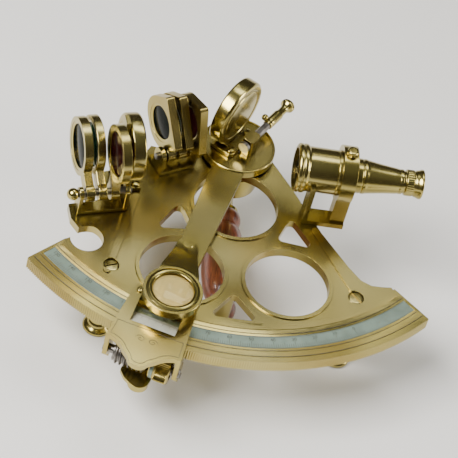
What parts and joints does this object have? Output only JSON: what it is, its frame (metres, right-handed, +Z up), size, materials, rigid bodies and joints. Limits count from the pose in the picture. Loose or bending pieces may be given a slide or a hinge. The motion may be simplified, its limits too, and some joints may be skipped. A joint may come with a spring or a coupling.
{
  "type": "nautical sextant",
  "caption": "Small brass nautical sextant with a pierced sector frame, swinging index arm with micrometer and magnifier, two mirrors, swinging shades and a telescope.",
  "frame": {"origin": "on the index arm's pivot axis, at the surface the three legs stand on", "axes": "+Z up through the frame plate, -Y from the pivot to the middle of the arc, +X to the telescope's eyepiece"},
  "size_m": [0.1348, 0.1231, 0.0674],
  "materials": {
    "cast_brass": "satin, lacquered",
    "polished_brass": "polished, lacquered",
    "turned_brass": "turned and polished",
    "screw_brass": "turned",
    "steel": "turned",
    "silvered_scale": "silvered, engraved",
    "rosewood": "oiled and polished",
    "lens_glass": "clear",
    "mirror_glass": "silvered",
    "shade_smoke": "smoked",
    "shade_green": "tinted",
    "shade_red": "tinted"
  },
  "bodies": {
    "frame": {"frame_plate": "cast_brass", "arc_scale": "silvered_scale", "leg_left": "turned_brass", "leg_right": "turned_brass", "leg_apex": "turned_brass", "leg_screws": "screw_brass", "pivot_bush": "turned_brass", "handle_grip": "rosewood", "handle_posts": "turned_brass", "telescope_bracket": "polished_brass", "telescope_barrel": "turned_brass", "objective_lens": "lens_glass", "collar_screw": "turned_brass", "horizon_mirror_cup": "polished_brass", "horizon_mirror_glass": "mirror_glass", "horizon_mirror_bracket": "polished_brass", "horizon_foot_screws": "screw_brass", "horizon_adjust_screws": "turned_brass", "horizon_shade_bracket": "polished_brass", "horizon_shade_rod": "steel", "horizon_shade_nut": "screw_brass", "index_shade_bracket": "polished_brass", "index_shade_rod": "steel", "index_shade_screw": "screw_brass"},
    "arm": {"index_arm": "polished_brass", "pivot_shaft": "steel", "clamp_housing": "polished_brass", "vernier_scale": "silvered_scale", "housing_screws": "screw_brass", "lever_pin": "steel", "magnifier_rivet": "screw_brass", "index_mirror_cup": "polished_brass", "index_mirror_glass": "mirror_glass", "index_mirror_foot": "polished_brass", "index_foot_screws": "screw_brass", "adjuster_post": "polished_brass"},
    "magnifier": {"magnifier_arm": "polished_brass", "magnifier_lens": "lens_glass"},
    "micrometer": {"worm": "steel", "micrometer_drum": "turned_brass"},
    "lever": {"release_lever": "polished_brass"},
    "adjuster": {"adjuster_stem": "steel", "adjuster_sleeve": "turned_brass", "adjuster_lock": "turned_brass"},
    "draw_tube": {"telescope_draw_tube": "turned_brass", "telescope_eye_cup": "turned_brass", "eyepiece_lens": "lens_glass"},
    "horizon_shade_1": {"horizon_shade_frame_1": "polished_brass", "horizon_shade_glass_1": "shade_smoke"},
    "index_shade_1": {"index_shade_frame_1": "polished_brass", "index_shade_glass_1": "shade_smoke"},
    "horizon_shade_2": {"horizon_shade_frame_2": "polished_brass", "horizon_shade_glass_2": "shade_green"},
    "index_shade_2": {"index_shade_frame_2": "polished_brass", "index_shade_glass_2": "shade_green"},
    "horizon_shade_3": {"horizon_shade_frame_3": "polished_brass", "horizon_shade_glass_3": "shade_red"},
    "index_shade_3": {"index_shade_frame_3": "polished_brass", "index_shade_glass_3": "shade_red"}
  },
  "joints": [
    {"name": "index_arm_swing", "type": "hinge", "parent": "frame", "child": "arm", "pos_m": [0, 0, 0.033], "axis": [0, 0, 1], "range_deg": [-21, 46]},
    {"name": "magnifier_swing", "type": "hinge", "parent": "arm", "child": "magnifier", "pos_m": [-0.01678, -0.04977, 0.037], "axis": [0, 0, 1], "range_deg": [-35, 35]},
    {"name": "micrometer_turn", "type": "hinge", "parent": "arm", "child": "micrometer", "pos_m": [-0.02842, -0.09295, 0.028], "axis": [0.9563, -0.2924, 0], "continuous": true},
    {"name": "release_lever_squeeze", "type": "hinge", "parent": "arm", "child": "lever", "pos_m": [-0.02719, -0.08894, 0.022], "axis": [-0.9563, 0.2924, 0], "range_deg": [0, 14], "stiffness_Nm_per_rad": 0.02, "springref_deg": -5.73},
    {"name": "index_mirror_adjuster_turn", "type": "hinge", "parent": "arm", "child": "adjuster", "pos_m": [0.00307, -0.00207, 0.041], "axis": [0.5592, 0.829, 0], "continuous": true},
    {"name": "telescope_focus", "type": "slide", "parent": "frame", "child": "draw_tube", "axis": [1, 0, 0], "range_m": [-0.0035, 0.006]},
    {"name": "horizon_shade_1_swing", "type": "hinge", "parent": "frame", "child": "horizon_shade_1", "pos_m": [-0.05115, -0.03598, 0.041], "axis": [0.9588, 0.284, 0], "range_deg": [-2, 76]},
    {"name": "horizon_shade_2_swing", "type": "hinge", "parent": "frame", "child": "horizon_shade_2", "pos_m": [-0.04712, -0.03479, 0.041], "axis": [0.9588, 0.284, 0], "range_deg": [-5, 73]},
    {"name": "horizon_shade_3_swing", "type": "hinge", "parent": "frame", "child": "horizon_shade_3", "pos_m": [-0.04309, -0.03359, 0.041], "axis": [0.9588, 0.284, 0], "range_deg": [-62, 16]},
    {"name": "index_shade_1_swing", "type": "hinge", "parent": "frame", "child": "index_shade_1", "pos_m": [-0.02486, -0.01164, 0.0395], "axis": [0.8794, 0.4761, 0], "range_deg": [-20, 50]},
    {"name": "index_shade_2_swing", "type": "hinge", "parent": "frame", "child": "index_shade_2", "pos_m": [-0.02125, -0.00968, 0.0395], "axis": [0.8794, 0.4761, 0], "range_deg": [-24, 46]},
    {"name": "index_shade_3_swing", "type": "hinge", "parent": "frame", "child": "index_shade_3", "pos_m": [-0.01765, -0.00773, 0.0395], "axis": [0.8794, 0.4761, 0], "range_deg": [-44, 26]}
  ]
}
